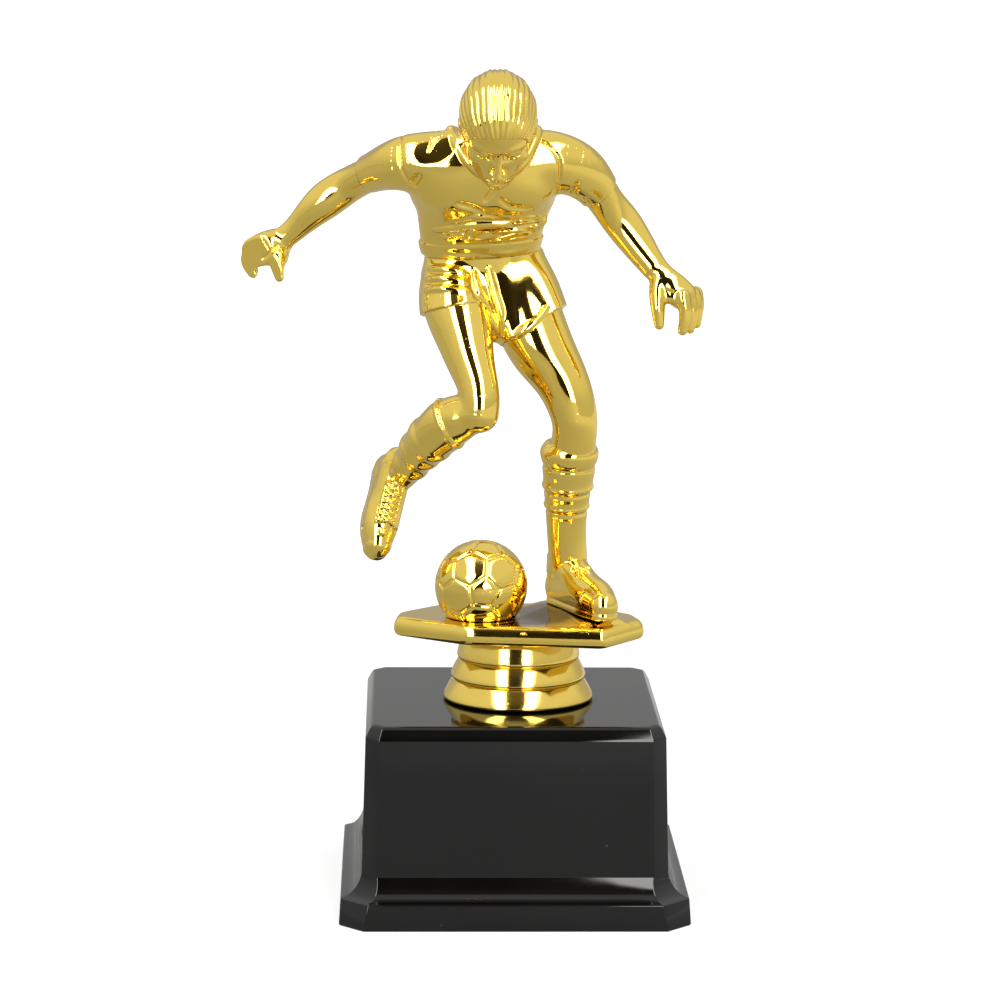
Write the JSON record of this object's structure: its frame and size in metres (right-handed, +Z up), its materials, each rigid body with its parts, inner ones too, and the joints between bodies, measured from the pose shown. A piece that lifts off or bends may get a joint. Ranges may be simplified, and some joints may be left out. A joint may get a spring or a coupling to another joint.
{
  "type": "figure trophy",
  "caption": "Gold plated footballer figure dribbling a ball on a faceted plate and stepped riser, bolted through a hollow black square base.",
  "frame": {"origin": "middle of the base's underside, in the plane it stands on", "axes": "+Z up along the bolt, -Y is the side the figure faces, +X to the viewer's right"},
  "size_m": [0.1054, 0.08, 0.1932],
  "materials": {
    "gold_plating": "vacuum metallised gold on polished plastic, mirror bright under clear lacquer",
    "black_plastic": "high gloss moulded black plastic with fine dust and hairline scratches",
    "cast_weight": "raw cast mortar with fine pores",
    "foam_pad": "closed cell foam sheet, fine grained and matt",
    "zinc_steel": "bright zinc plate over turned steel"
  },
  "bodies": {
    "base": {"base_shell": "black_plastic", "base_weight": "cast_weight", "base_pad": "foam_pad", "base_washer": "zinc_steel", "spring_washer": "zinc_steel"},
    "riser": {"riser": "gold_plating"},
    "figure": {"centre_bolt": "zinc_steel", "base_nut": "zinc_steel", "plinth_plate": "gold_plating", "ball_front_half": "gold_plating", "ball_back_half": "gold_plating", "figure_front_half": "gold_plating", "figure_back_half": "gold_plating"}
  },
  "joints": [
    {"name": "riser_turn", "type": "hinge", "parent": "base", "child": "riser", "pos_m": [0.0013, -0.001, 0.0459], "axis": [0, 0, 1], "continuous": true},
    {"name": "figure_turn", "type": "hinge", "parent": "riser", "child": "figure", "pos_m": [0.0013, -0.001, 0.0612], "axis": [0, 0, 1], "continuous": true}
  ]
}
